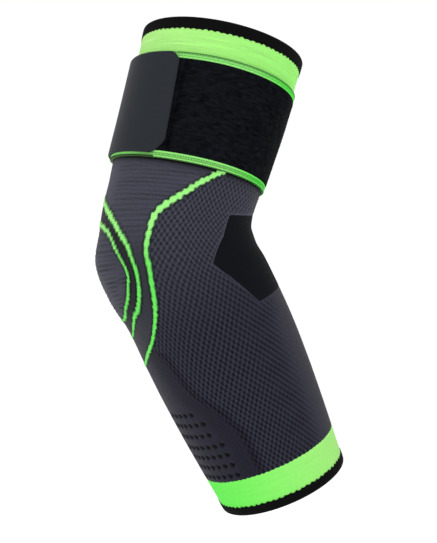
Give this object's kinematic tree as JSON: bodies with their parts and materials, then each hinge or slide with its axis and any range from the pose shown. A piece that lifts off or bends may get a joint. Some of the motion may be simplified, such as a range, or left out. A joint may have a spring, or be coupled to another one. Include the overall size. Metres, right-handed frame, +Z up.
{
  "type": "elbow brace",
  "caption": "Knitted compression elbow sleeve with hemmed coloured bands, a soft crease panel and a wrap-around elastic strap closed by a hook tab.",
  "frame": {"origin": "where the axes of the upper arm and the forearm meet inside the brace, at the elbow", "axes": "+Z up along the worn arm, +X towards the crease of the elbow, -X towards the point of the elbow, -Y towards the side where the strap's tab closes"},
  "size_m": [0.1304, 0.0923, 0.258],
  "materials": {
    "knit_grey": "charcoal nylon and elastane rib and mesh knit, matt, with green knitted-in lines",
    "knit_green": "neon green knitted band, matt",
    "knit_black": "black doubled knitted hem, matt",
    "panel_black": "black plain fine knit, smooth and matt",
    "strap_black": "black brushed loop elastic, matt",
    "edge_green": "green ribbed elastic edge",
    "tab_grey": "charcoal smooth back of a moulded hook tape, satin"
  },
  "bodies": {
    "root": {"upper_hem": "knit_black", "upper_band": "knit_green", "sleeve_body": "knit_grey", "crease_panel": "panel_black", "lower_band": "knit_green", "lower_hem": "knit_black", "strap": "strap_black", "strap_upper_edge": "edge_green", "strap_lower_edge": "edge_green", "hook_tab": "tab_grey"}
  },
  "joints": []
}
